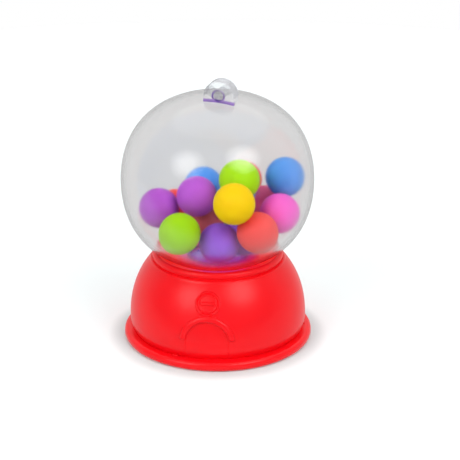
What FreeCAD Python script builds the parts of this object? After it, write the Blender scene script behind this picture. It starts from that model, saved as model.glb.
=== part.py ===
import FreeCAD, Part
import math
import os

# Toy gumball machine: a clear globe of loose balls on a red moulded base.
# Millimetres, +Z up, origin at the centre of the foot, the dial faces -Y.

# Clear globe
globe_radius = 30.0
globe_half_height = 27.5
globe_fullness = 0.626
globe_wall = 1.2

# Foot flange: its edge lies just inside the globe's width and stands out beyond the dome
flange_inset = 0.2
flange_reach = 1.9
flange_height = 3.0
flange_rounding = 1.3

# Domed body of the base: a rounded wall that rises from its widest level to the shoulder
dome_widest_z = 7.1
dome_rise = 27.6
dome_fullness = 0.60
shoulder_z = 26.4
shoulder_rounding = 0.4
tuck_depth = 1.3
base_wall = 1.8

# Collar bead round the foot of the globe, which sinks a little below the shoulder
globe_sink = 2.0
collar_height = 2.4
collar_clearance = 1.35
collar_bead_radius = 1.15
collar_groove = 0.35

# Relief of the dial on the front of the dome
dial_drop = 5.7
dial_outer_ring = 3.75
dial_inner_ring = 2.95
dial_ring_width = 0.45
dial_ring_height = 0.35
dial_bar_length = 4.0
dial_bar_width = 0.9
dial_bar_height = 0.5

# Relief of the delivery arch and its door panel
door_width = 13.4
door_spring_z = 8.65
door_recess = 0.5
arch_band_width = 1.9
arch_band_height = 0.5
arch_foot_z = 9.6
relief_root = 0.8

# Neck under the globe, its stopper and the socket in the base
neck_radius = 10.0
neck_wall = 1.2
neck_length = 7.8
plug_fit = 0.05
plug_wall = 1.2
plug_rim = 1.0
socket_fit = 0.08
socket_wall = 1.8
socket_ledge = 1.4
socket_ledge_reach = 2.6
seat_gap = 0.3
rest_gap = 0.1

# Hanging lug, set into a slot in the crown a little in front of the pole
lug_width = 9.7
lug_thickness = 5.2
lug_height = 5.9
lug_offset = 4.9
lug_bearing = -70.0
lug_turn = -10.5
lug_eye_radius = 1.5
lug_rounding = 0.6
lug_fit = 0.03

# Loose balls. Each has a bearing from +X and its share of the room between the axis and the wall.
# They drop in this order, and each comes to rest on the wall or on the balls below it.
# One that would come to rest too far above the middle of the globe rolls to the lowest place with room.
ball_diameter = 12.6
ball_gap = 0.15
ball_rise = 2.0
roll_step = 1.0
roll_turn = 15
ball_heap = (
    ("ball_purple_low", -1, 0.365),
    ("ball_purple_front", -80.5, 0.5),
    ("ball_green_back", 81, 0.555),
    ("ball_red_core", 163.5, 0.2),
    ("ball_green_front", -119.5, 0.86),
    ("ball_red_front", -44.5, 0.865),
    ("ball_pink_rear", 41.5, 0.815),
    ("ball_red_left", 150.5, 0.755),
    ("ball_pink_right", -7, 0.885),
    ("ball_blue_rear", 111.5, 0.81),
    ("ball_purple_left", -170, 0.82),
    ("ball_red_rear", 74.5, 0.955),
    ("ball_blue_mid", 46.5, 0.335),
    ("ball_purple_mid", -144.5, 0.325),
    ("ball_yellow_front", -67.5, 0.83),
    ("ball_blue_right", 18, 0.97),
    ("ball_green_top", -33, 0.39),
)

up = FreeCAD.Vector(0, 0, 1)
forward = FreeCAD.Vector(0, -1, 0)
middle = FreeCAD.Vector(0, 0, 0)

flange_radius = globe_radius - flange_inset
dome_radius = flange_radius - flange_reach
globe_bottom_z = shoulder_z - globe_sink
globe_centre_z = globe_bottom_z + globe_half_height
globe_top_z = globe_centre_z + globe_half_height
globe_floor_z = globe_bottom_z + globe_wall
collar_top_z = shoulder_z + collar_height
dial_z = shoulder_z - dial_drop
lug_top_z = globe_top_z + lug_height
neck_end_z = globe_bottom_z - neck_length
plug_end_z = neck_end_z - plug_rim
ledge_z = plug_end_z - rest_gap
socket_end_z = ledge_z - socket_ledge
tuck_radius = dome_radius - tuck_depth
ball_radius = ball_diameter / 2

# Points on the walls the balls rest on, steps of each height search, and how near counts as the same
wall_points = 120
halvings = 40
same = 0.001


def at(radius, z):
    return FreeCAD.Vector(radius, 0, z)


def line(start, end):
    return Part.LineSegment(start, end).toShape()


def turned(edges):
    return Part.Face(Part.Wire(edges)).revolve(middle, up, 360)


def post(radius, low_z, high_z):
    return Part.makeCylinder(radius, high_z - low_z, at(0, low_z), up)


def rod(radius, z):
    return Part.makeCylinder(radius, 2 * dome_radius, at(0, z), forward)


# A quarter of a rounded profile, from its widest point to its pole on the axis
def quarter(radius, rise, widest_z, fullness):
    curve = Part.BezierCurve()
    curve.setPoles([
        at(radius, widest_z),
        at(radius, widest_z + fullness * rise),
        at(fullness * radius, widest_z + rise),
        at(0, widest_z + rise),
    ])
    return curve


def share_at(curve, z):
    low, high = 0.0, 1.0
    rising = curve.value(1).z > curve.value(0).z
    for _ in range(halvings):
        share = (low + high) / 2
        if (curve.value(share).z < z) == rising:
            low = share
        else:
            high = share
    return low


def globe_curves(growth):
    radius = globe_radius + growth
    rise = globe_half_height + growth
    upper = quarter(radius, rise, globe_centre_z, globe_fullness)
    lower = quarter(radius, -rise, globe_centre_z, globe_fullness)
    return upper, lower


def globe_body(growth):
    upper, lower = globe_curves(growth)
    spine = line(lower.value(1), upper.value(1))
    return turned([upper.toShape(), lower.toShape(), spine])


def dome_curve(growth):
    return quarter(dome_radius + growth, dome_rise + growth, dome_widest_z, dome_fullness)


# Dome and the straight wall under it, grown or shrunk from the real surface
def dome_body(growth, low_z):
    curve = dome_curve(growth)
    foot = at(dome_radius + growth, low_z)
    wall = line(foot, curve.value(0))
    spine = line(curve.value(1), at(0, low_z))
    return turned([wall, curve.toShape(), spine, line(at(0, low_z), foot)])


def dome_skin(depth, height):
    return dome_body(height, flange_height).cut(dome_body(-depth, flange_height))


# Whole circles of one radius round the axis
def circles(shape, radius):
    around = 2 * math.pi * radius
    return [edge for edge in shape.Edges if edge.Closed and abs(edge.Length - around) < same]


# Foot flange, tucked-in waist and dome in one turned body
def base_outside():
    tuck_height = dome_widest_z - flange_height
    tuck_curve = (tuck_height ** 2 + tuck_depth ** 2) / (2 * tuck_depth)
    half_turn = math.atan2(tuck_height, tuck_curve - tuck_depth) / 2
    tuck_middle = at(
        dome_radius - tuck_curve * (1 - math.cos(half_turn)),
        dome_widest_z - tuck_curve * math.sin(half_turn),
    )
    curve = dome_curve(0)
    curve.segment(0, share_at(curve, shoulder_z))
    shoulder = curve.value(1)
    waist = at(tuck_radius, flange_height)
    rim_low = at(flange_radius, 0)
    rim_high = at(flange_radius, flange_height)
    body = turned([
        line(middle, rim_low),
        line(rim_low, rim_high),
        line(rim_high, waist),
        Part.Arc(waist, tuck_middle, curve.value(0)).toShape(),
        curve.toShape(),
        line(shoulder, at(0, shoulder_z)),
        line(at(0, shoulder_z), middle),
    ])
    body = body.makeFillet(flange_rounding, circles(body, flange_radius))
    return body.makeFillet(shoulder_rounding, circles(body, shoulder.x))


def collar():
    bead_z = collar_top_z - collar_bead_radius
    foot = globe_curves(0)[1]
    collar_radius = foot.value(share_at(foot, collar_top_z)).x + collar_clearance
    bead = Part.makeTorus(collar_radius, collar_bead_radius, at(0, bead_z), up)
    web_reach = collar_bead_radius - collar_groove
    web = post(collar_radius + web_reach, shoulder_z - base_wall, bead_z)
    web = web.cut(post(collar_radius - web_reach, shoulder_z - base_wall, bead_z))
    return bead.fuse(web)


# Hollow under the dome, open below, with the globe's cup as its roof
def base_hollow():
    mouth = post(tuck_radius - base_wall, 0, shoulder_z - base_wall)
    return mouth.common(dome_body(-base_wall, 0)).cut(globe_body(seat_gap + base_wall))


def delivery_arch():
    band = rod(door_width / 2 + arch_band_width, door_spring_z).cut(rod(door_width / 2, door_spring_z))
    span = 2 * dome_radius
    above = Part.makeBox(span, span, span, FreeCAD.Vector(-dome_radius, -span, arch_foot_z))
    return band.common(above).common(dome_skin(relief_root, arch_band_height))


def door_panel():
    half = door_width / 2
    panel = Part.makeBox(
        door_width, 2 * dome_radius, door_spring_z - flange_height,
        FreeCAD.Vector(-half, -2 * dome_radius, flange_height),
    )
    panel = panel.fuse(rod(half, door_spring_z))
    return panel.common(dome_skin(door_recess, flange_radius))


# Two rings and a turning bar, square to the dome where the dial sits
def dial_relief():
    curve = dome_curve(0)
    share = share_at(curve, dial_z)
    tangent = curve.tangent(share)[0]
    centre = FreeCAD.Vector(0, -curve.value(share).x, dial_z)
    outward = FreeCAD.Vector(0, -abs(tangent.z), abs(tangent.x))
    start = centre - outward * base_wall
    length = 2 * base_wall

    def stub(radius):
        return Part.makeCylinder(radius, length, start, outward)

    rings = stub(dial_outer_ring).cut(stub(dial_outer_ring - dial_ring_width))
    rings = rings.fuse(stub(dial_inner_ring).cut(stub(dial_inner_ring - dial_ring_width)))
    bar = Part.makeBox(dial_bar_length, dial_bar_width, length)
    bar.translate(FreeCAD.Vector(-dial_bar_length / 2, -dial_bar_width / 2, 0))
    bar.Placement = FreeCAD.Placement(start, FreeCAD.Rotation(up, outward)).multiply(bar.Placement)
    rings = rings.common(dome_skin(relief_root, dial_ring_height))
    bar = bar.common(dome_skin(relief_root, dial_bar_height))
    return rings.fuse(bar)


def base_housing():
    body = base_outside().fuse(collar()).cut(base_hollow())
    body = body.fuse(post(neck_radius + socket_fit + socket_wall, socket_end_z, shoulder_z - base_wall))
    body = body.cut(globe_body(seat_gap))
    body = body.cut(post(neck_radius + socket_fit, ledge_z, collar_top_z))
    body = body.cut(post(neck_radius - socket_ledge_reach, 0, collar_top_z))
    body = body.fuse(delivery_arch()).cut(door_panel())
    return body.fuse(dial_relief()).removeSplitter()


def lug_placed(shape):
    centre = FreeCAD.Vector(
        lug_offset * math.cos(math.radians(lug_bearing)),
        lug_offset * math.sin(math.radians(lug_bearing)),
        0,
    )
    shape.Placement = FreeCAD.Placement(centre, FreeCAD.Rotation(up, lug_turn)).multiply(shape.Placement)
    return shape


# Round-topped block, from inside the globe to the top of the lug
def lug_block(growth):
    width = lug_width + 2 * growth
    depth = lug_thickness + 2 * growth
    bow_z = lug_top_z - lug_width / 2
    corner = FreeCAD.Vector(-width / 2, -depth / 2, globe_centre_z)
    block = Part.makeBox(width, depth, bow_z - globe_centre_z, corner)
    bow = Part.makeCylinder(width / 2, depth, FreeCAD.Vector(0, depth / 2, bow_z), forward)
    return block.fuse(bow).removeSplitter()


def hanger_lug():
    lug = lug_block(0)
    rims = [edge for edge in lug.Edges if abs(edge.CenterOfMass.y) > lug_thickness / 2 - same]
    lug = lug.makeFillet(lug_rounding, rims)
    eye_start = FreeCAD.Vector(0, lug_thickness / 2, globe_top_z + lug_eye_radius)
    eye = Part.makeCylinder(lug_eye_radius, lug_thickness, eye_start, forward)
    return lug_placed(lug.cut(eye)).cut(globe_body(-globe_wall))


def globe():
    shell = globe_body(0).fuse(post(neck_radius, neck_end_z, globe_floor_z + globe_wall))
    shell = shell.cut(globe_body(-globe_wall))
    shell = shell.cut(post(neck_radius - neck_wall, neck_end_z, globe_centre_z))
    slot = lug_placed(lug_block(lug_fit))
    return shell.cut(slot)


# Cup-shaped stopper, its closed end level with the floor of the globe
def neck_plug():
    reach = neck_radius - neck_wall - plug_fit
    stopper = post(reach, neck_end_z, globe_floor_z).fuse(post(neck_radius, plug_end_z, neck_end_z))
    return stopper.cut(post(reach - plug_wall, plug_end_z, globe_floor_z - plug_wall))


def wall_room(reach, z, wall):
    return min(math.hypot(point.x - reach, point.z - z) for point in wall) - ball_radius


# Lowest centre height at which a ball clears the lower wall of the globe
def wall_height(reach, wall):
    low, high = globe_floor_z, globe_centre_z
    for _ in range(halvings):
        z = (low + high) / 2
        if wall_room(reach, z, wall) < ball_gap:
            low = z
        else:
            high = z
    return high


def dropped(bearing, reach, wall, others):
    x = reach * math.cos(math.radians(bearing))
    y = reach * math.sin(math.radians(bearing))
    z = wall_height(reach, wall)
    spacing = ball_diameter + ball_gap
    for other in others:
        apart = math.hypot(other.x - x, other.y - y)
        if apart < spacing:
            z = max(z, other.z + math.sqrt(spacing ** 2 - apart ** 2))
    return FreeCAD.Vector(x, y, z)


def settled(bearing, reach, room, walls, others):
    upper, lower = walls
    centre = dropped(bearing, reach, lower, others)
    if centre.z <= globe_centre_z + ball_rise and wall_room(reach, centre.z, upper) >= ball_gap:
        return centre
    places = []
    for aside in range(0, 360, roll_turn):
        for step in range(int(room / roll_step)):
            inward = step * roll_step
            place = dropped(bearing + aside, inward, lower, others)
            if wall_room(inward, place.z, upper) >= ball_gap:
                places.append(place)
    return min(places, key=lambda place: place.z)


def ball_centres():
    walls = [curve.discretize(wall_points) for curve in globe_curves(-globe_wall)]
    room = globe_radius - globe_wall - ball_radius - ball_gap
    centres = {}
    for name, bearing, share in ball_heap:
        centres[name] = settled(bearing, share * room, room, walls, centres.values())
    return centres


pieces = {
    "base_housing": base_housing(),
    "globe": globe(),
    "neck_plug": neck_plug(),
    "hanger_lug": hanger_lug(),
}
for ball_name, ball_centre in ball_centres().items():
    pieces[ball_name] = Part.makeSphere(ball_radius, ball_centre)

os.makedirs("parts", exist_ok=True)
for piece_name, piece in pieces.items():
    piece.exportStep("parts/" + piece_name + ".step")
    print(piece_name, piece.isValid(), len(piece.Solids), round(piece.Volume, 1))
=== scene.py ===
import math
import bpy
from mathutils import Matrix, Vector


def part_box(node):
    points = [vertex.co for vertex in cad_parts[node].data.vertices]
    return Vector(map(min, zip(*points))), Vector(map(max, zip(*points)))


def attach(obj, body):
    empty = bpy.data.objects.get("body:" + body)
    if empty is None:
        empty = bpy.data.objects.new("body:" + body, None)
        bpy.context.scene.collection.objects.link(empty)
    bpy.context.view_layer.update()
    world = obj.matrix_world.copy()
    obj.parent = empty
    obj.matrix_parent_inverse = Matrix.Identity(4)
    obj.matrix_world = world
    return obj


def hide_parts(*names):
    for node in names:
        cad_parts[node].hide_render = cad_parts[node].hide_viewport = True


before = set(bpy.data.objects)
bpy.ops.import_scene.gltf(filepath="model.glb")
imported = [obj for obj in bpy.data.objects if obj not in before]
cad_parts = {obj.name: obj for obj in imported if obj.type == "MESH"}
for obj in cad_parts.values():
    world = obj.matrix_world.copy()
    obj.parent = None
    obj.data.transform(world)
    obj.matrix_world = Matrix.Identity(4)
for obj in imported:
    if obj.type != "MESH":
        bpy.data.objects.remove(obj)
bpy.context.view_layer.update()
mm = 0.001         # Blender works in metres, and the sizes below are in mm
mergeMm = 0.002    # corners closer than this become one
touchMm = 0.001    # a corner this close counts as lying on a plane
print("frame loaded:", len(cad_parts), "nodes")


def deselectAll():
    if bpy.context.object and bpy.context.object.mode != "OBJECT":
        bpy.ops.object.mode_set(mode="OBJECT")
    bpy.ops.object.select_all(action="DESELECT")


def pick(piece):
    deselectAll()
    piece.select_set(True)
    bpy.context.view_layer.objects.active = piece


def applyModifier(piece, kind, **settings):
    pick(piece)
    modifier = piece.modifiers.new(kind.lower(), kind)
    for key, value in settings.items():
        setattr(modifier, key, value)
    bpy.ops.object.modifier_apply(modifier=modifier.name)


def cutWith(piece, cutter):
    applyModifier(piece, "BOOLEAN", operation="DIFFERENCE", solver="EXACT", object=cutter)
    bpy.data.objects.remove(cutter)


# marks the elements of one kind whose corners, in mm, pass a test, and stays in edit mode
def choose(piece, kind, test):
    pick(piece)
    bpy.ops.object.mode_set(mode="EDIT")
    bpy.ops.mesh.select_mode(type=kind)
    bpy.ops.mesh.select_all(action="DESELECT")
    bpy.ops.object.mode_set(mode="OBJECT")
    mesh = piece.data
    items = {"VERT": mesh.vertices, "EDGE": mesh.edges, "FACE": mesh.polygons}[kind]
    for item in items:
        corners = [item.index] if kind == "VERT" else item.vertices
        item.select = test([mesh.vertices[corner].co / mm for corner in corners])
    bpy.ops.object.mode_set(mode="EDIT")


def roundOff(piece, test, width, segments):
    choose(piece, "EDGE", test)
    bpy.ops.mesh.bevel(offset=width * mm, segments=segments, affect="EDGES")
    bpy.ops.object.mode_set(mode="OBJECT")


# edges that bend by more than the crease angle stay sharp
def smooth(piece, creaseDeg):
    pick(piece)
    bpy.ops.object.shade_smooth_by_angle(angle=math.radians(creaseDeg))


# profile points are (radius, height) in mm
def arc(radius, centre, fromDeg, toDeg, count):
    turns = [math.radians(fromDeg + (toDeg - fromDeg) * i / count) for i in range(count + 1)]
    return [(centre[0] + radius * math.cos(a), centre[1] + radius * math.sin(a)) for a in turns]


# a cubic curve from the widest point to the pole on the axis
def quarter(radius, rise, widest, fullness, count):
    points = []
    for i in range(count + 1):
        t = i / count
        left = 1 - t
        r = radius * (left ** 3 + 3 * left * left * t + 3 * left * t * t * fullness)
        z = widest + rise * (3 * left * left * t * fullness + 3 * left * t * t + t ** 3)
        points.append((r, z))
    return points


# the run of a curve where one coordinate lies between two values, with exact ends
def stretch(points, which, low, high):
    kept = []
    for a, b in zip(points, points[1:]):
        ends = sorted((a[which], b[which]))
        if ends[1] < low or ends[0] > high:
            continue
        for limit in (low, high):
            if ends[0] < limit < ends[1]:
                share = (limit - a[which]) / (b[which] - a[which])
                kept.append(tuple(a[k] + share * (b[k] - a[k]) for k in (0, 1)))
        kept += [p for p in (a, b) if low <= p[which] <= high]
    down = points[0][which] > points[-1][which]
    return sorted(set(kept), key=lambda p: p[which], reverse=down)


# a point drawn along the profile and the line then spun round the z axis
def spinProfile(name, points, steps):
    deselectAll()
    bpy.ops.mesh.primitive_plane_add(size=mm)
    piece = bpy.context.object
    piece.name = piece.data.name = name
    bpy.ops.object.mode_set(mode="EDIT")
    bpy.ops.mesh.select_mode(type="VERT")
    bpy.ops.mesh.select_all(action="SELECT")
    bpy.ops.mesh.merge(type="CENTER")
    bpy.ops.transform.translate(value=(points[0][0] * mm, 0, points[0][1] * mm))
    for a, b in zip(points, points[1:]):
        step = ((b[0] - a[0]) * mm, 0, (b[1] - a[1]) * mm)
        bpy.ops.mesh.extrude_region_move(TRANSFORM_OT_translate={"value": step})
    bpy.ops.mesh.select_all(action="SELECT")
    bpy.ops.mesh.spin(steps=steps, angle=2 * math.pi, center=(0, 0, 0), axis=(0, 0, 1))
    bpy.ops.mesh.select_all(action="SELECT")
    bpy.ops.mesh.remove_doubles(threshold=mergeMm * mm)
    bpy.ops.mesh.normals_make_consistent(inside=False)
    bpy.ops.object.mode_set(mode="OBJECT")
    return piece


# an sRGB hex value as linear light
def linear(code):
    shares = [int(code[i:i + 2], 16) / 255 for i in (1, 3, 5)]
    return tuple(c / 12.92 if c <= 0.04045 else ((c + 0.055) / 1.055) ** 2.4 for c in shares) + (1,)


def addNode(tree, kind, settings=None, links=None):
    node = tree.nodes.new(kind)
    for key, value in (settings or {}).items():
        if isinstance(key, int) or key in node.inputs:
            node.inputs[key].default_value = value
        else:
            setattr(node, key, value)
    for key, source in (links or {}).items():
        tree.links.new(source, node.inputs[key])
    return node


def newMaterial(name):
    material = bpy.data.materials.new(name)
    material.use_nodes = True
    tree = material.node_tree
    tree.nodes.clear()
    place = addNode(tree, "ShaderNodeTexCoord").outputs["Object"]
    return material, tree, place


# one over a length in mm: the scale of a pattern with that grain
def perMetre(sizeMm):
    return 1 / (sizeMm * mm)


def dress(piece, material):
    piece.data.materials.clear()
    piece.data.materials.append(material)


# polypropylene, injection moulded and satin from the mould: two broad soft highlights, a deep red glow
# where light soaks into thin rims and grooves, a faint flow mottle and a fine grain in the shine;
# the seat under the globe has a painted glow, emission standing in for light from the balls, violet within
# and red towards its edge
redPlastic = {
    "deepRed": "#ea0614",
    "brightRed": "#f50c18",
    "mottleMm": 9.0,
    "mottleDetail": 3.0,
    "grainMm": 0.28,
    "grainDetail": 2.0,
    "grainDepthMm": 0.004,
    "grainStrength": 0.35,
    "shineFrom": 0.27,
    "shineTo": 0.35,
    "ior": 1.35,
    "glow": 0.4,
    "glowMm": (1.6, 0.2, 0.15),
    # the seat's two colours and its strength are painted light: emission standing in for light from the
    # balls
    "seatPaintedRed": "#ff1c14",
    "seatPaintedViolet": "#c434b4",
    "seatPaintedGlow": 0.5,
    "seatFadeMm": (11.0, 14.5),     # from violet to red, by distance from the axis
    "seatEdgeMm": (18.9, 19.6),     # where the glow ends at the collar
    "seatFloorMm": (24.9, 25.3),    # the height where it starts
}


def mouldedPolypropylene():
    material, tree, place = newMaterial("moulded polypropylene, satin red")
    mottle = addNode(tree, "ShaderNodeTexNoise", {
        "Scale": perMetre(redPlastic["mottleMm"]), "Detail": redPlastic["mottleDetail"]}, {"Vector": place})
    grain = addNode(tree, "ShaderNodeTexNoise", {
        "Scale": perMetre(redPlastic["grainMm"]), "Detail": redPlastic["grainDetail"]}, {"Vector": place})
    red = addNode(tree, "ShaderNodeMix", {
        "data_type": "RGBA", 6: linear(redPlastic["deepRed"]), 7: linear(redPlastic["brightRed"])}, {
        0: mottle.outputs["Fac"]})
    shine = addNode(tree, "ShaderNodeMapRange", {
        "To Min": redPlastic["shineFrom"], "To Max": redPlastic["shineTo"]}, {"Value": grain.outputs["Fac"]})
    bump = addNode(tree, "ShaderNodeBump", {
        "Strength": redPlastic["grainStrength"], "Distance": redPlastic["grainDepthMm"] * mm}, {
        "Height": grain.outputs["Fac"]})
    flat = addNode(tree, "ShaderNodeVectorMath", {"operation": "MULTIPLY", 1: (1, 1, 0)}, {0: place})
    radius = addNode(tree, "ShaderNodeVectorMath", {"operation": "LENGTH"}, {0: flat.outputs[0]})
    height = addNode(tree, "ShaderNodeSeparateXYZ", None, {0: place})
    measures = {
        "seatFadeMm": (radius.outputs["Value"], 1.0),
        "seatEdgeMm": (radius.outputs["Value"], 1.0),
        "seatFloorMm": (height.outputs["Z"], redPlastic["seatPaintedGlow"]),
    }
    rises = {}
    for part, (value, top) in measures.items():
        start, end = redPlastic[part]
        rises[part] = addNode(tree, "ShaderNodeMapRange", {
            "From Min": start * mm, "From Max": end * mm, "To Max": top}, {"Value": value}).outputs[0]
    # painted light: the seat's emission, violet near the axis and red towards the collar
    paintedSeatLight = addNode(tree, "ShaderNodeMix", {
        "data_type": "RGBA", 6: linear(redPlastic["seatPaintedViolet"]), 7: linear(redPlastic["seatPaintedRed"])}, {
        0: rises["seatFadeMm"]})
    inside = addNode(tree, "ShaderNodeMath", {"operation": "SUBTRACT", 0: 1.0}, {1: rises["seatEdgeMm"]})
    inSeat = addNode(tree, "ShaderNodeMath", {"operation": "MULTIPLY"}, {
        0: inside.outputs[0], 1: rises["seatFloorMm"]})
    skin = addNode(tree, "ShaderNodeBsdfPrincipled", {
        "IOR": redPlastic["ior"], "Subsurface Weight": redPlastic["glow"],
        "Subsurface Radius": redPlastic["glowMm"], "Subsurface Scale": mm}, {
        "Base Color": red.outputs[2], "Roughness": shine.outputs[0], "Normal": bump.outputs[0],
        "Emission Color": paintedSeatLight.outputs[2], "Emission Strength": inSeat.outputs[0]})
    addNode(tree, "ShaderNodeOutputMaterial", None, {"Surface": skin.outputs[0]})
    return material


# polystyrene, moulded and polished: clear, with a faint grey body, slow ripples in the wall and
# light rubbing that softens the shine
clearPlastic = {
    "bodyTint": "#fafafa",
    "clearness": 1.0,
    "rippleMm": 14.0,
    "rippleDetail": 1.0,
    "rippleDepthMm": 0.02,
    "rippleStrength": 0.5,
    "rubMm": 3.0,
    "rubDetail": 4.0,
    "shineFrom": 0.07,
    "shineTo": 0.12,
    "ior": 1.4,
    "smokeTint": "#cdced4",
    "smokePerMetre": 14.0,
    # painted glow: emission in the violet of the balls, standing in for their light in the plastic; off
    # unless a piece turns it up
    "paintedGlowColour": "#8a5cf0",
    "paintedGlowStrength": 0.0,
}


# changes are a piece's own values, and tintOver gives a colour that varies over it
def clearPolystyrene(name, changes, tintOver=None):
    material, tree, place = newMaterial(name)
    plastic = {**clearPlastic, **changes}
    ripple = addNode(tree, "ShaderNodeTexNoise", {
        "Scale": perMetre(plastic["rippleMm"]), "Detail": plastic["rippleDetail"]}, {"Vector": place})
    rub = addNode(tree, "ShaderNodeTexNoise", {
        "Scale": perMetre(plastic["rubMm"]), "Detail": plastic["rubDetail"]}, {"Vector": place})
    shine = addNode(tree, "ShaderNodeMapRange", {
        "To Min": plastic["shineFrom"], "To Max": plastic["shineTo"]}, {"Value": rub.outputs["Fac"]})
    bump = addNode(tree, "ShaderNodeBump", {
        "Strength": plastic["rippleStrength"], "Distance": plastic["rippleDepthMm"] * mm}, {
        "Height": ripple.outputs["Fac"]})
    # the wall's emission is the painted glow, not a lamp
    wall = addNode(tree, "ShaderNodeBsdfPrincipled", {
        "Base Color": linear(plastic["bodyTint"]), "Transmission Weight": plastic["clearness"],
        "IOR": plastic["ior"], "Emission Color": linear(plastic["paintedGlowColour"]),
        "Emission Strength": plastic["paintedGlowStrength"]}, {
        "Roughness": shine.outputs[0], "Normal": bump.outputs[0]})
    seenAs = wall
    if tintOver:
        tint = tintOver(tree, place)
        tree.links.new(tint, wall.inputs["Base Color"])
        straight = addNode(tree, "ShaderNodeBsdfTransparent", None, {"Color": tint})
        seenAs = addNode(tree, "ShaderNodeMixShader", {0: plastic["thinShare"]}, {
            1: wall.outputs[0], 2: straight.outputs[0]})
    lampsPass = addNode(tree, "ShaderNodeBsdfTransparent")
    rays = addNode(tree, "ShaderNodeLightPath")
    both = addNode(tree, "ShaderNodeMixShader", None, {
        0: rays.outputs["Is Shadow Ray"], 1: seenAs.outputs[0], 2: lampsPass.outputs[0]})
    smoke = addNode(tree, "ShaderNodeVolumeAbsorption", {
        "Color": linear(plastic["smokeTint"]), "Density": plastic["smokePerMetre"]})
    addNode(tree, "ShaderNodeOutputMaterial", None, {
        "Surface": both.outputs[0], "Volume": smoke.outputs[0]})
    return material


# vinyl, moulded with a satin skin: strong even colour that light soaks into, so its shaded side stays
# bright, a wide soft highlight and a fine grain
satinVinyl = {
    "yellow": "#ffcb00",
    "purple": "#b056c6",
    # violet, rose and cerise are painted light: purple, red and pink balls as they look in shadow or in
    # coloured light
    "violet": "#995cdc",
    "rose": "#d86c76",
    "cerise": "#ff6496",
    "blue": "#5294e2",
    "green": "#a0d608",
    "pink": "#ff5cca",
    "red": "#ff4e4a",
    "brighter": 0.08,
    "soak": 0.6,
    "soakMm": (5.0, 4.0, 4.0),
    "mottleMm": 4.0,
    "mottleDetail": 2.0,
    "grainMm": 0.22,
    "grainDetail": 2.0,
    "grainDepthMm": 0.008,
    "grainStrength": 0.3,
    "shineFrom": 0.45,
    "shineTo": 0.6,
    "ior": 1.22,
}


def mouldedVinyl(colour):
    material, tree, place = newMaterial("moulded vinyl, satin " + colour)
    full = linear(satinVinyl[colour])
    bright = tuple(min(c * (1 + satinVinyl["brighter"]), 1) for c in full)
    mottle = addNode(tree, "ShaderNodeTexNoise", {
        "Scale": perMetre(satinVinyl["mottleMm"]), "Detail": satinVinyl["mottleDetail"]}, {"Vector": place})
    grain = addNode(tree, "ShaderNodeTexNoise", {
        "Scale": perMetre(satinVinyl["grainMm"]), "Detail": satinVinyl["grainDetail"]}, {"Vector": place})
    tone = addNode(tree, "ShaderNodeMix", {"data_type": "RGBA", 6: full, 7: bright}, {
        0: mottle.outputs["Fac"]})
    shine = addNode(tree, "ShaderNodeMapRange", {
        "To Min": satinVinyl["shineFrom"], "To Max": satinVinyl["shineTo"]}, {"Value": grain.outputs["Fac"]})
    bump = addNode(tree, "ShaderNodeBump", {
        "Strength": satinVinyl["grainStrength"], "Distance": satinVinyl["grainDepthMm"] * mm}, {
        "Height": grain.outputs["Fac"]})
    skin = addNode(tree, "ShaderNodeBsdfPrincipled", {
        "IOR": satinVinyl["ior"], "Subsurface Weight": satinVinyl["soak"],
        "Subsurface Radius": satinVinyl["soakMm"], "Subsurface Scale": mm}, {
        "Base Color": tone.outputs[2], "Roughness": shine.outputs[0], "Normal": bump.outputs[0]})
    addNode(tree, "ShaderNodeOutputMaterial", None, {"Surface": skin.outputs[0]})
    return material


# the clear globe, a little flatter than a sphere, and the neck below it
globe = {
    "radius": 30.0,
    "halfHeight": 27.5,
    "centreZ": 51.9,
    "fullness": 0.626,
    "wall": 1.2,
    "neckRadius": 10.0,
    "neckWall": 1.2,
    "neckEndZ": 16.6,
    "curvePoints": 44,
    "steps": 192,
    "creaseDeg": 35,
}


def globeCurve(growth, upper):
    rise = (globe["halfHeight"] + growth) * (1 if upper else -1)
    return quarter(globe["radius"] + growth, rise, globe["centreZ"], globe["fullness"], globe["curvePoints"])


# the red base: foot flange, tuck, dome, shoulder, bead collar, seat for the globe and socket for its neck
base = {
    "flangeRadius": 29.8,
    "flangeHeight": 3.0,
    "flangeRounding": 1.3,
    "flangePoints": (6, 8),     # below and above its widest line
    "tuckDepth": 1.3,
    "tuckPoints": 8,
    "domeRadius": 27.9,
    "domeWidestZ": 7.1,
    "domeRise": 27.6,
    "domeFullness": 0.60,
    "domePoints": 60,
    "shoulderZ": 26.4,
    "shoulderRounding": 0.4,
    "shoulderFrom": 20,         # degrees, where the rounding leaves the dome
    "shoulderPoints": 4,
    "wall": 1.8,
    "collarRadius": 19.5,
    "collarTopZ": 28.8,
    "collarGroove": 0.35,
    "beadRadius": 1.15,
    "beadPoints": 28,
    "seatGap": 0.3,
    "socketRadius": 10.08,
    "socketWall": 1.8,
    "socketEndZ": 14.1,
    "ledgeZ": 15.5,
    "ledgeRadius": 7.4,
    "steps": 256,
    "creaseDeg": 35,
}


def domeCurve(growth, count):
    return quarter(base["domeRadius"] + growth, base["domeRise"] + growth, base["domeWidestZ"],
                   base["domeFullness"], count)


def tuckArc(count):
    high = base["domeWidestZ"] - base["flangeHeight"]
    deep = base["tuckDepth"]
    bend = (high * high + deep * deep) / (2 * deep)
    centre = (base["domeRadius"] - bend, base["domeWidestZ"])
    return arc(bend, centre, -math.degrees(math.asin(high / bend)), 0, count)


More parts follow.
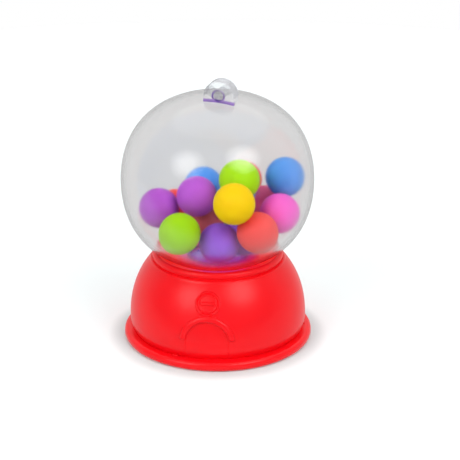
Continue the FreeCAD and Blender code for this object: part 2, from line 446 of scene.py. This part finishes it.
# round the section once: up the outside, over the collar, down into the socket and back along the inside
def baseProfile():
    rim = base["flangeRounding"]
    rimCentre = base["flangeRadius"] - rim
    lowPoints, highPoints = base["flangePoints"]
    mouth = base["domeRadius"] - base["tuckDepth"] - base["wall"]
    points = [(mouth, 0)] + arc(rim, (rimCentre, rim), -90, 0, lowPoints)
    points += arc(rim, (rimCentre, base["flangeHeight"] - rim), 0, 90, highPoints)
    points += tuckArc(base["tuckPoints"])
    bendZ = base["shoulderZ"] - base["shoulderRounding"]
    dome = stretch(domeCurve(0, base["domePoints"]), 1, base["domeWidestZ"], bendZ)
    points += dome[1:]
    edge = dome[-1][0] - base["shoulderRounding"]
    points += arc(base["shoulderRounding"], (edge, bendZ), base["shoulderFrom"], 90, base["shoulderPoints"])
    web = base["beadRadius"] - base["collarGroove"]
    beadCentre = (base["collarRadius"], base["collarTopZ"] - base["beadRadius"])
    dip = math.degrees(math.acos(web / base["beadRadius"]))
    points.append((base["collarRadius"] + web, base["shoulderZ"]))
    points += arc(base["beadRadius"], beadCentre, -dip, 180 + dip, base["beadPoints"])
    points.append((base["collarRadius"] - web, base["shoulderZ"]))
    seat = stretch(globeCurve(base["seatGap"], False), 0, base["socketRadius"], base["collarRadius"])
    points += [p for p in seat if p[1] <= base["shoulderZ"]]
    points.append((base["socketRadius"], base["ledgeZ"]))
    points.append((base["ledgeRadius"], base["ledgeZ"]))
    points.append((base["ledgeRadius"], base["socketEndZ"]))
    outside = base["socketRadius"] + base["socketWall"]
    points.append((outside, base["socketEndZ"]))
    roofZ = base["shoulderZ"] - base["wall"]
    cup = stretch(globeCurve(base["seatGap"] + base["wall"], False), 0, outside, base["collarRadius"])
    points += [p for p in reversed(cup) if p[1] <= roofZ]
    inner = stretch(domeCurve(-base["wall"], base["domePoints"]), 1, base["domeWidestZ"], roofZ)
    points += [p for p in reversed(inner) if p[0] <= mouth]
    points.append((mouth, 0))
    return points


# the sunken door under its arch, and the dial: two rings and a bar
relief = {
    "doorHalf": 6.7,
    "doorSpringZ": 8.65,
    "doorRecess": 0.45,
    "doorFadeZ": 6.0,
    "doorFade": 5.0,
    "archWidth": 1.9,
    "archHeight": 0.65,
    "archFootZ": 9.6,
    "dialZ": 20.7,
    "ringOuter": 3.75,
    "ringInner": 2.95,
    "ringWidth": 0.45,
    "ringHeight": 0.35,
    "barLength": 4.0,
    "barWidth": 0.9,
    "barHeight": 0.45,
    "softEdge": 0.42,
    "margin": 1.0,
    "skin": 0.4,
    "cuts": 5,
    "tuckPoints": 40,
    "domePoints": 600,
}
outsideCurve = tuckArc(relief["tuckPoints"]) + domeCurve(0, relief["domePoints"])[1:]


# radius and upward normal of the dome and its tuck at a height
def outsideAt(z):
    for a, b in zip(outsideCurve, outsideCurve[1:]):
        if a[1] <= z <= b[1]:
            share = (z - a[1]) / (b[1] - a[1])
            return a[0] + share * (b[0] - a[0]), Vector((b[1] - a[1], a[0] - b[0])).normalized()
    return None, None


# from 0 outside an edge to 1 inside it, with a soft step between
def soft(distance):
    t = min(max(distance / relief["softEdge"] + 0.5, 0), 1)
    return t * t * (3 - 2 * t)


def reliefHeight(x, z, dialUp):
    out = math.hypot(x, max(z - relief["doorSpringZ"], 0))
    upDoor = min(max((z - relief["doorFadeZ"]) / relief["doorFade"] + 0.5, 0), 1)
    inDoor = soft(relief["doorHalf"] - out) * upDoor
    across = 2 * (out - relief["doorHalf"]) / relief["archWidth"] - 1
    inArch = math.sqrt(max(1 - across * across, 0)) * soft(z - relief["archFootZ"])
    height = relief["archHeight"] * inArch - relief["doorRecess"] * inDoor
    ring = math.hypot(x, dialUp)
    for radius in (relief["ringOuter"], relief["ringInner"]):
        height += relief["ringHeight"] * soft(radius - ring) * soft(ring - radius + relief["ringWidth"])
    inBar = soft(relief["barLength"] / 2 - abs(x)) * soft(relief["barWidth"] / 2 - abs(dialUp))
    return height + relief["barHeight"] * inBar


def onFront(corners):
    reach = relief["doorHalf"] + relief["archWidth"] + relief["margin"]
    topZ = relief["dialZ"] + relief["ringOuter"] + relief["margin"]
    for x, y, z in corners:
        if y > 0 or abs(x) > reach or z > topZ:
            return False
        radius = outsideAt(z)[0]
        if not radius or math.hypot(x, y) < radius - relief["skin"]:
            return False
    return True


# the front is cut finer, laid on the true curve of the dome and raised or sunk along its normal
def addRelief(piece):
    choose(piece, "FACE", onFront)
    bpy.ops.mesh.subdivide(number_cuts=relief["cuts"])
    bpy.ops.object.mode_set(mode="OBJECT")
    dialRadius, dialNormal = outsideAt(relief["dialZ"])
    for vertex in piece.data.vertices:
        x, y, z = vertex.co / mm
        if not onFront([(x, y, z)]):
            continue
        radius, normal = outsideAt(z)
        across = math.hypot(x, y)
        ahead = Vector((x / across, y / across, 0))
        dialUp = (dialRadius + y) * dialNormal[1] + (z - relief["dialZ"]) * dialNormal[0]
        lift = reliefHeight(x, z, dialUp)
        raised = ahead * (radius + lift * normal[0]) + Vector((0, 0, z + lift * normal[1]))
        vertex.co = raised * mm


# stubs that two mould gates left on the flange, in the corner below the dome
gates = {
    "bearings": (-111.5, 7.0),
    "radius": 27.3,
    "size": (1.0, 1.9, 0.9),
    "rounding": 0.2,
    "segments": 2,
}


def gateStub(bearing):
    deselectAll()
    bpy.ops.mesh.primitive_cube_add(size=mm)
    stub = bpy.context.object
    stub.scale = gates["size"]
    bpy.ops.object.transform_apply(location=True, rotation=True, scale=True)
    roundOff(stub, lambda corners: True, gates["rounding"], gates["segments"])
    turn = math.radians(bearing)
    across = gates["radius"] * mm
    stub.location = (across * math.cos(turn), across * math.sin(turn), base["flangeHeight"] * mm)
    stub.rotation_euler = (0, 0, turn)
    bpy.ops.object.transform_apply(location=True, rotation=True, scale=True)
    return stub


baseShell = spinProfile("base_shell", baseProfile(), base["steps"])
addRelief(baseShell)
for bearing in gates["bearings"]:
    stub = gateStub(bearing)
    pick(baseShell)
    stub.select_set(True)
    bpy.ops.object.join()
smooth(baseShell, base["creaseDeg"])
dress(baseShell, mouldedPolypropylene())
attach(baseShell, "base")
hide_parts("base_housing")
print("base shell:", len(baseShell.data.polygons), "faces")


# from the crown down the outside to the end of the neck, and back up the inside
def globeProfile():
    inner = globe["neckRadius"] - globe["neckWall"]
    points = list(reversed(globeCurve(0, True)))
    points += stretch(globeCurve(0, False), 0, globe["neckRadius"], globe["radius"])[1:]
    points += [(globe["neckRadius"], globe["neckEndZ"]), (inner, globe["neckEndZ"])]
    points += list(reversed(stretch(globeCurve(-globe["wall"], False), 0, inner, globe["radius"])))
    points += globeCurve(-globe["wall"], True)[1:]
    return points


globeShell = spinProfile("globe_shell", globeProfile(), globe["steps"])
smooth(globeShell, globe["creaseDeg"])
dress(globeShell, clearPolystyrene("moulded polystyrene, clear", {}))
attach(globeShell, "globe")
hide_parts("globe")
print("globe shell:", len(globeShell.data.polygons), "faces")

# the lug with its eye, on the crown and turned a little from the base's front
lug = {
    "width": 9.7,
    "thickness": 5.2,
    "topZ": 85.3,
    "rootZ": 76.0,
    "bowPoints": 96,
    "flatDeg": 0.5,
    "offset": 4.9,
    "bearing": -70.0,
    "turn": -10.5,
    "eyeRadius": 1.5,
    "eyeZ": 80.9,
    "eyePoints": 64,
    "eyeSlack": 0.01,
    "rounding": 0.6,
    "segments": 4,
    "eyeRounding": 0.15,
    "eyeSegments": 2,
    "fit": 0.03,
    "creaseDeg": 35,
}
bowZ = lug["topZ"] - lug["width"] / 2


# a round-topped block: half a drum with its flat side drawn down to the root
def lugBlock():
    deselectAll()
    bpy.ops.mesh.primitive_cylinder_add(
        vertices=lug["bowPoints"], radius=lug["width"] / 2 * mm, depth=lug["thickness"] * mm,
        location=(0, 0, bowZ * mm), rotation=(math.pi / 2, 0, 0))
    piece = bpy.context.object
    piece.name = piece.data.name = "hanging_lug"
    bpy.ops.object.transform_apply(location=True, rotation=True, scale=True)
    bpy.ops.object.mode_set(mode="EDIT")
    bpy.ops.mesh.select_all(action="SELECT")
    bpy.ops.mesh.bisect(plane_co=(0, 0, bowZ * mm), plane_no=(0, 0, -1), use_fill=True, clear_outer=True)
    choose(piece, "FACE", lambda corners: all(p.z < bowZ + touchMm for p in corners))
    bpy.ops.mesh.extrude_region_move(TRANSFORM_OT_translate={"value": (0, 0, (lug["rootZ"] - bowZ) * mm)})
    bpy.ops.mesh.select_all(action="SELECT")
    bpy.ops.mesh.dissolve_limited(angle_limit=math.radians(lug["flatDeg"]))
    bpy.ops.mesh.normals_make_consistent(inside=False)
    bpy.ops.object.mode_set(mode="OBJECT")
    return piece


# the eye is bored, and the foot cut to stand on the globe, whose axis lies beside the lug until it is placed
def cutLug(piece):
    deselectAll()
    bpy.ops.mesh.primitive_cylinder_add(
        vertices=lug["eyePoints"], radius=lug["eyeRadius"] * mm, depth=2 * lug["thickness"] * mm,
        location=(0, 0, lug["eyeZ"] * mm), rotation=(math.pi / 2, 0, 0))
    cutWith(piece, bpy.context.object)
    low = list(reversed(globeCurve(lug["fit"], False)))
    stand = spinProfile("lug_stand", low + globeCurve(lug["fit"], True)[1:], globe["steps"])
    towards = math.radians(lug["bearing"] - lug["turn"])
    stand.location = (-lug["offset"] * math.cos(towards) * mm, -lug["offset"] * math.sin(towards) * mm, 0)
    cutWith(piece, stand)


def onFlat(corners):
    return all(abs(abs(p.y) - lug["thickness"] / 2) < touchMm for p in corners)


def onEye(corners):
    misses = [abs(math.hypot(p.x, p.z - lug["eyeZ"]) - lug["eyeRadius"]) for p in corners]
    return onFlat(corners) and max(misses) < lug["eyeSlack"]


def onRim(corners):
    return onFlat(corners) and not onEye(corners) and any(p.z > bowZ - touchMm for p in corners)


# where the middle of the lug stands, seen from above
def lugMiddle():
    bearing = math.radians(lug["bearing"])
    return lug["offset"] * math.cos(bearing) * mm, lug["offset"] * math.sin(bearing) * mm


def placeLug(piece):
    pick(piece)
    piece.location = (*lugMiddle(), 0)
    piece.rotation_euler = (0, 0, math.radians(lug["turn"]))
    bpy.ops.object.transform_apply(location=True, rotation=True, scale=True)


# the globe's polystyrene, thick and rubbed: a milky clear body, light through it almost unbent, and a
# painted violet line where its foot meets the globe, standing in for the balls' light refracted in it
lugPlastic = {
    "clearTint": "#f9f9fa",
    "clearness": 0.2,
    # colour of the painted refraction of the violet balls
    "paintedVioletTint": "#bc9ce0",
    "ior": 1.3,
    "thinShare": 0.8,
    "smokePerMetre": 0.0,
    "rippleMm": 4.0,
    "crownBend": 46.5,              # radius of the globe's crown
    "footFade": (80.3, 80.5),       # height over the crown's curve
    "eyeFade": (1.95, 2.2),         # distance from the eye's axis
    "boreFade": (1.55, 1.65),
    "eyeLowFade": (81.6, 83.4),     # height
    "frontFade": (2.4, 1.2),        # distance ahead of the eye's middle
}


# painted refraction: the front of the foot and the lower half of the eye are tinted the violet of the balls
# below them
def paintedVioletRefraction(tree, place):
    turn = math.radians(lug["turn"])
    axis = (math.sin(turn), -math.cos(turn), 0)
    eye = (*lugMiddle(), lug["eyeZ"] * mm)
    height = addNode(tree, "ShaderNodeSeparateXYZ", None, {0: place})
    flat = addNode(tree, "ShaderNodeVectorMath", {"operation": "MULTIPLY", 1: (1, 1, 0)}, {0: place})
    spread = addNode(tree, "ShaderNodeVectorMath", {"operation": "DOT_PRODUCT"}, {
        0: flat.outputs[0], 1: place})
    overCrown = addNode(tree, "ShaderNodeMath", {
        "operation": "MULTIPLY_ADD", 1: perMetre(2 * lugPlastic["crownBend"])}, {
        0: spread.outputs["Value"], 2: height.outputs["Z"]})
    away = addNode(tree, "ShaderNodeVectorMath", {"operation": "SUBTRACT", 1: eye}, {0: place})
    across = addNode(tree, "ShaderNodeVectorMath", {"operation": "CROSS_PRODUCT", 1: axis}, {
        0: away.outputs[0]})
    fromAxis = addNode(tree, "ShaderNodeVectorMath", {"operation": "LENGTH"}, {0: across.outputs[0]})
    ahead = addNode(tree, "ShaderNodeVectorMath", {"operation": "DOT_PRODUCT", 1: axis}, {
        0: away.outputs[0]})
    measures = {
        "footFade": overCrown.outputs[0],
        "eyeFade": fromAxis.outputs["Value"],
        "boreFade": fromAxis.outputs["Value"],
        "eyeLowFade": height.outputs["Z"],
        "frontFade": ahead.outputs["Value"],
    }
    fades = {}
    for part, value in measures.items():
        start, end = lugPlastic[part]
        fades[part] = addNode(tree, "ShaderNodeMapRange", {
            "From Min": start * mm, "From Max": end * mm, "To Min": 1.0, "To Max": 0.0}, {
            "Value": value}).outputs[0]
    ring = addNode(tree, "ShaderNodeMath", {"operation": "SUBTRACT"}, {
        0: fades["eyeFade"], 1: fades["boreFade"]})
    underEye = addNode(tree, "ShaderNodeMath", {"operation": "MULTIPLY"}, {
        0: ring.outputs[0], 1: fades["eyeLowFade"]})
    either = addNode(tree, "ShaderNodeMath", {"operation": "MAXIMUM"}, {
        0: fades["footFade"], 1: underEye.outputs[0]})
    violet = addNode(tree, "ShaderNodeMath", {"operation": "MULTIPLY"}, {
        0: either.outputs[0], 1: fades["frontFade"]})
    tint = addNode(tree, "ShaderNodeMix", {
        "data_type": "RGBA", 6: linear(lugPlastic["clearTint"]), 7: linear(lugPlastic["paintedVioletTint"])}, {
        0: violet.outputs[0]})
    return tint.outputs[2]


lugBody = lugBlock()
cutLug(lugBody)
roundOff(lugBody, onRim, lug["rounding"], lug["segments"])
roundOff(lugBody, onEye, lug["eyeRounding"], lug["eyeSegments"])
placeLug(lugBody)
smooth(lugBody, lug["creaseDeg"])
lugClear = clearPolystyrene("moulded polystyrene, clear with a violet foot", lugPlastic, paintedVioletRefraction)
dress(lugBody, lugClear)
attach(lugBody, "globe")
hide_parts("hanger_lug")
print("lug:", len(lugBody.data.polygons), "faces")

# a hollow cup in the globe's neck, with a painted violet glow that stands in for light from the balls that
# lie on it
stopper = {
    "fit": 0.05,
    "wall": 1.2,
    "rim": 1.0,
    "rounding": 0.3,
    "roundPoints": 4,
    "steps": 96,
    "creaseDeg": 35,
    # strength of the painted violet glow
    "paintedGlowStrength": 0.12,
}


def stopperProfile():
    reach = globe["neckRadius"] - globe["neckWall"] - stopper["fit"]
    floorZ = globe["centreZ"] - globe["halfHeight"] + globe["wall"]
    roofZ = floorZ - stopper["wall"]
    rimZ = globe["neckEndZ"]
    endZ = rimZ - stopper["rim"]
    hollow = reach - stopper["wall"]
    r = stopper["rounding"]
    count = stopper["roundPoints"]
    points = [(0, floorZ)]
    points += arc(r, (reach - r, floorZ - r), 90, 0, count)
    points.append((reach, rimZ))
    points += arc(r, (globe["neckRadius"] - r, rimZ - r), 90, 0, count)
    points += arc(r, (globe["neckRadius"] - r, endZ + r), 0, -90, count)
    points.append((hollow, endZ))
    points += arc(r, (hollow - r, roofZ - r), 0, 90, count)
    points.append((0, roofZ))
    return points


stopperCup = spinProfile("stopper_cup", stopperProfile(), stopper["steps"])
smooth(stopperCup, stopper["creaseDeg"])
stopperClear = clearPolystyrene("moulded polystyrene, clear stopper", {
    "paintedGlowStrength": stopper["paintedGlowStrength"]})
dress(stopperCup, stopperClear)
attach(stopperCup, "globe")
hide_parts("neck_plug")
print("stopper:", len(stopperCup.data.polygons), "faces")

# shades are painted light: other colours for balls that lie in shadow or in coloured light
gumball = {
    "diameter": 12.6,
    "segments": 72,
    "rings": 36,
    "partingWidth": 0.2,
    "partingSegments": 2,
    "partingHeight": 0.03,
    "gateRings": 1.5,
    "gateRim": 0.1,
    "gateDepth": 0.05,
    "levels": 1,
    "creaseDeg": 60,
    "turnStep": 137.5,
    "turnShares": (1.0, 0.4, 0.7),
    "paintedShades": {
        "ball_purple_front": "violet",
        "ball_purple_low": "violet",
        "ball_red_core": "rose",
        "ball_pink_rear": "cerise",
    },
}


# one ball with the raised line where its mould halves met and the scar of its gate
def gumballMaster():
    radius = gumball["diameter"] / 2
    deselectAll()
    bpy.ops.mesh.primitive_uv_sphere_add(
        segments=gumball["segments"], ring_count=gumball["rings"], radius=radius * mm)
    piece = bpy.context.object
    roundOff(piece, lambda corners: all(abs(p.z) < touchMm for p in corners),
             gumball["partingWidth"], gumball["partingSegments"])
    choose(piece, "VERT", lambda corners: abs(corners[0].z) < touchMm)
    swell = 1 + gumball["partingHeight"] / radius
    bpy.ops.transform.resize(value=(swell, swell, 1))
    capZ = radius * math.cos(gumball["gateRings"] * math.pi / gumball["rings"])
    choose(piece, "FACE", lambda corners: all(p.z > capZ for p in corners))
    bpy.ops.mesh.inset(thickness=gumball["gateRim"] * mm)
    bpy.ops.transform.translate(value=(0, 0, -gumball["gateDepth"] * mm))
    bpy.ops.object.mode_set(mode="OBJECT")
    applyModifier(piece, "SUBSURF", levels=gumball["levels"], render_levels=gumball["levels"])
    smooth(piece, gumball["creaseDeg"])
    return piece


master = gumballMaster()
vinyls = {}
ballNodes = sorted(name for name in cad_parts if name.startswith("ball_"))
for number, node in enumerate(ballNodes):
    slotColour = node.split("_")[1]
    colour = gumball["paintedShades"].get(node, slotColour)
    if colour not in vinyls:
        vinyls[colour] = mouldedVinyl(colour)
    low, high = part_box(node)
    pick(master)
    bpy.ops.object.duplicate(linked=False)
    ball = bpy.context.object
    ball.name = ball.data.name = node.replace("ball", "gumball")
    turn = math.radians(gumball["turnStep"] * number)
    ball.rotation_euler = [share * turn for share in gumball["turnShares"]]
    ball.location = (low + high) / 2
    bpy.ops.object.transform_apply(location=True, rotation=True, scale=True)
    dress(ball, vinyls[colour])
    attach(ball, node)
    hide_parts(node)
bpy.data.objects.remove(master)
print("gumballs:", len(ballNodes))

# the paper is a little cool and its glow a little warm, which evens out the red that the base casts on it;
# lengths are in metres
studio = {
    "paperRadius": 0.4,
    "paperPoints": 128,
    "paper": "#d9e8e8",
    "paperGlow": 0.265,
    "glowTint": "#ffe6e6",
    "paintedContactShadow": (0.0306, 0.0362),    # from the axis: the glow fades out near the flange, which paints a contact shadow there
    "mirrorFade": (-0.045, -0.085),     # along y: the paper's mirror image dims towards the front
    "fill": 0.66,
    "dimRoom": 0.04,
    "backdropFade": (-0.3, 0.4),        # along y of a ray's direction
    "mirroredWhite": 0.75,
    "throughGlass": 0.79,
    "oneBounce": 0.5,                   # a light path's depth is above this once it has bounced
}


# shares of the light paths that show the backdrop before any light has scattered:
# seen at all, mirrored on the way, and seen through clear plastic without mirroring
def seenDirectly(tree):
    rays = addNode(tree, "ShaderNodeLightPath")
    fresh = addNode(tree, "ShaderNodeMath", {"operation": "LESS_THAN", 1: studio["oneBounce"]}, {
        0: rays.outputs["Diffuse Depth"]})
    clear = addNode(tree, "ShaderNodeMath", {"operation": "MAXIMUM"}, {
        0: rays.outputs["Is Camera Ray"], 1: rays.outputs["Is Transmission Ray"]})
    anyKind = addNode(tree, "ShaderNodeMath", {"operation": "MAXIMUM"}, {
        0: clear.outputs[0], 1: rays.outputs["Is Glossy Ray"]})
    seen = addNode(tree, "ShaderNodeMath", {"operation": "MULTIPLY"}, {
        0: anyKind.outputs[0], 1: fresh.outputs[0]})
    bounced = addNode(tree, "ShaderNodeMath", {"operation": "GREATER_THAN", 1: studio["oneBounce"]}, {
        0: rays.outputs["Glossy Depth"]})
    mirrored = addNode(tree, "ShaderNodeMath", {"operation": "MULTIPLY"}, {
        0: seen.outputs[0], 1: bounced.outputs[0]})
    straight = addNode(tree, "ShaderNodeMath", {"operation": "SUBTRACT"}, {
        0: seen.outputs[0], 1: mirrored.outputs[0]})
    through = addNode(tree, "ShaderNodeMath", {"operation": "MULTIPLY"}, {
        0: straight.outputs[0], 1: rays.outputs["Is Transmission Ray"]})
    return seen.outputs[0], mirrored.outputs[0], through.outputs[0]


# pale matte paper, which takes the object's shadow; its glow is seen and lights nothing, and is left out
# near the flange as a painted contact shadow
def makeFloor():
    deselectAll()
    bpy.ops.mesh.primitive_circle_add(
        vertices=studio["paperPoints"], radius=studio["paperRadius"], fill_type="NGON")
    floor = bpy.context.object
    floor.name = "paper_floor"
    material, tree, place = newMaterial("white paper, matte")
    seen, mirrored, through = seenDirectly(tree)
    paper = addNode(tree, "ShaderNodeBsdfDiffuse", {"Color": linear(studio["paper"])})
    away = addNode(tree, "ShaderNodeVectorMath", {"operation": "LENGTH"}, {0: place})
    # painted contact shadow: the glow is taken away within these distances of the axis
    touching, beyond = studio["paintedContactShadow"]
    glowOutsidePaintedShadow = addNode(tree, "ShaderNodeMapRange", {
        "interpolation_type": "SMOOTHSTEP", "From Min": touching, "From Max": beyond,
        "To Max": studio["paperGlow"]}, {"Value": away.outputs["Value"]})
    lift = addNode(tree, "ShaderNodeMath", {"operation": "MULTIPLY"}, {0: seen, 1: glowOutsidePaintedShadow.outputs[0]})
    glow = addNode(tree, "ShaderNodeEmission", {"Color": linear(studio["glowTint"])}, {
        "Strength": lift.outputs[0]})
    lit = addNode(tree, "ShaderNodeAddShader", None, {0: paper.outputs[0], 1: glow.outputs[0]})
    side = addNode(tree, "ShaderNodeSeparateXYZ", None, {0: place})
    near, far = studio["mirrorFade"]
    front = addNode(tree, "ShaderNodeMapRange", {
        "interpolation_type": "SMOOTHSTEP", "From Min": near, "From Max": far,
        "To Min": studio["mirroredWhite"], "To Max": studio["dimRoom"]}, {"Value": side.outputs["Y"]})
    inShine = addNode(tree, "ShaderNodeEmission", None, {"Strength": front.outputs[0]})
    behindGlass = addNode(tree, "ShaderNodeEmission", {"Strength": studio["throughGlass"]})
    outside = addNode(tree, "ShaderNodeMixShader", None, {
        0: mirrored, 1: lit.outputs[0], 2: inShine.outputs[0]})
    shown = addNode(tree, "ShaderNodeMixShader", None, {
        0: through, 1: outside.outputs[0], 2: behindGlass.outputs[0]})
    addNode(tree, "ShaderNodeOutputMaterial", None, {"Surface": shown.outputs[0]})
    floor.data.materials.append(material)


# a white backdrop behind, pale grey through the clear plastic, and a dim room in front of the object
def makeWorld():
    world = bpy.data.worlds.new("studio")
    world.use_nodes = True
    tree = world.node_tree
    tree.nodes.clear()
    place = addNode(tree, "ShaderNodeTexCoord").outputs["Generated"]
    side = addNode(tree, "ShaderNodeSeparateXYZ", None, {0: place})
    low, high = studio["backdropFade"]
    behind = addNode(tree, "ShaderNodeMapRange", {
        "interpolation_type": "SMOOTHSTEP", "From Min": low, "From Max": high,
        "To Min": studio["dimRoom"], "To Max": studio["mirroredWhite"]}, {"Value": side.outputs["Y"]})
    seen, mirrored, through = seenDirectly(tree)
    plain = addNode(tree, "ShaderNodeMix", {2: 1.0, 3: studio["throughGlass"]}, {0: through})
    backdrop = addNode(tree, "ShaderNodeMix", None, {
        0: mirrored, 2: plain.outputs[0], 3: behind.outputs[0]})
    strength = addNode(tree, "ShaderNodeMix", {2: studio["fill"]}, {0: seen, 3: backdrop.outputs[0]})
    light = addNode(tree, "ShaderNodeBackground", {"Color": (1, 1, 1, 1)}, {
        "Strength": strength.outputs[0]})
    addNode(tree, "ShaderNodeOutputWorld", None, {"Surface": light.outputs[0]})
    bpy.context.scene.world = world


# angles in degrees; widths are those of the discs that make up a softbox
lamps = {
    "key": {"azimuth": 48.0, "elevation": 42.0, "strength": 1.15, "widths": (21.0, 31.0, 41.0)},
    "left": {"azimuth": -36.0, "elevation": 33.0, "strength": 1.02, "widths": (21.0, 31.0, 41.0)},
    "top": {"azimuth": 180.0, "elevation": 68.0, "strength": 0.45, "widths": (70.0,)},
}
lampDistanceMm = 1000.0


# a place on a ball round the aim, azimuth from the front, and the turn that looks at the aim from there
def around(azimuth, elevation, distanceMm, aimMm):
    a = math.radians(azimuth)
    e = math.radians(elevation)
    back = Vector((math.sin(a) * math.cos(e), -math.cos(a) * math.cos(e), math.sin(e)))
    return Vector(aimMm) * mm + back * (distanceMm * mm), (-back).to_track_quat("-Z", "Y").to_euler()


# a distant round softbox whose light fades towards its rim: discs of equal brightness on one another
def makeLamp(name):
    settings = lamps[name]
    widths = [math.radians(width) for width in settings["widths"]]
    shares = [1 - math.cos(width / 2) for width in widths]
    for width, share in zip(widths, shares):
        lamp = bpy.data.lights.new(name + "_softbox", "SUN")
        lamp.angle = width
        lamp.energy = settings["strength"] * share / sum(shares)
        holder = bpy.data.objects.new(lamp.name, lamp)
        bpy.context.scene.collection.objects.link(holder)
        holder.location, holder.rotation_euler = around(
            settings["azimuth"], settings["elevation"], lampDistanceMm, (0, 0, globe["centreZ"]))


makeFloor()
makeWorld()
for lampName in lamps:
    makeLamp(lampName)

cameraPlace = {
    "azimuth": 6.65,
    "elevation": 21.65,
    "distanceMm": 504.8,
    "aimMm": (3.9, 0.0, 35.19),
    "lens": 126.0,
    "clipStartMm": 10.0,
}
camera = bpy.data.objects.new("camera", bpy.data.cameras.new("camera"))
bpy.context.scene.collection.objects.link(camera)
camera.data.lens = cameraPlace["lens"]
camera.data.clip_start = cameraPlace["clipStartMm"] * mm
camera.location, camera.rotation_euler = around(
    cameraPlace["azimuth"], cameraPlace["elevation"], cameraPlace["distanceMm"], cameraPlace["aimMm"])
bpy.context.scene.camera = camera
bpy.context.scene.view_settings.view_transform = "Standard"
print("studio ready")
